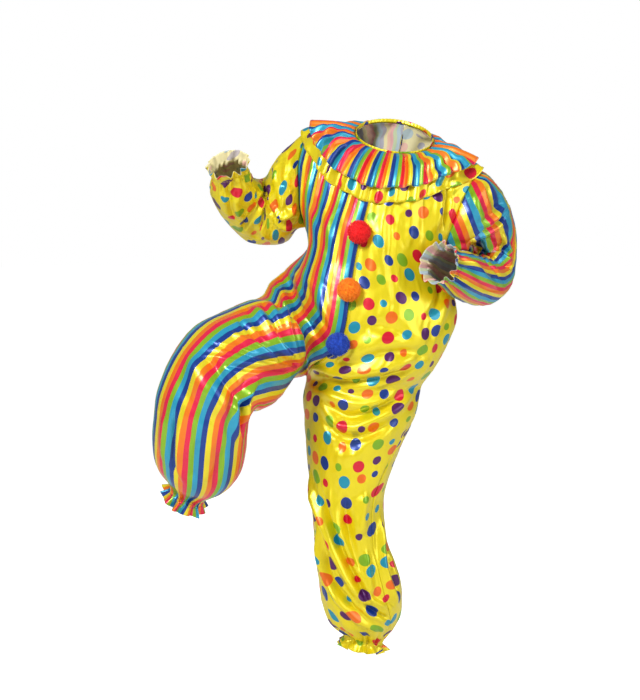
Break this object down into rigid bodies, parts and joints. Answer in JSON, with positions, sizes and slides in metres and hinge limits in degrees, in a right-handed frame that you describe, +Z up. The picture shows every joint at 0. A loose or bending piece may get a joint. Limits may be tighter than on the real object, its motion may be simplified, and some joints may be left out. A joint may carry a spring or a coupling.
{
  "type": "clown costume",
  "caption": "Clown jumpsuit in its worn shape, hollow, with a ruffled collar, gathered cuffs and ankles, and yarn pompoms down the front.",
  "frame": {"origin": "on the axis of the neck, 18 mm above the middle of the neckline seam, where the wearer's neck holds the costume", "axes": "+Z up, -Y out of the front of the costume, +X towards the wearer's left; the trunk leans 13 degrees towards +X and turns 13 degrees"},
  "size_m": [0.9143, 0.5387, 1.3809],
  "materials": {
    "stripedSatin": "satin with lengthwise stripes in yellow, orange, red, green, light blue and blue",
    "dottedSatin": "yellow satin with round dots in mixed colours",
    "redYarn": "fluffy yarn",
    "orangeYarn": "fluffy yarn",
    "blueYarn": "fluffy yarn"
  },
  "bodies": {
    "root": {"frontRight": "stripedSatin", "backRight": "stripedSatin", "frontLeft": "dottedSatin", "backLeft": "dottedSatin", "sleeveRight": "dottedSatin", "sleeveLeft": "stripedSatin", "collarUpper": "stripedSatin", "collarLower": "dottedSatin", "neckBinding": "dottedSatin", "pompomRed": "redYarn", "pompomOrange": "orangeYarn", "pompomBlue": "blueYarn"}
  },
  "joints": []
}
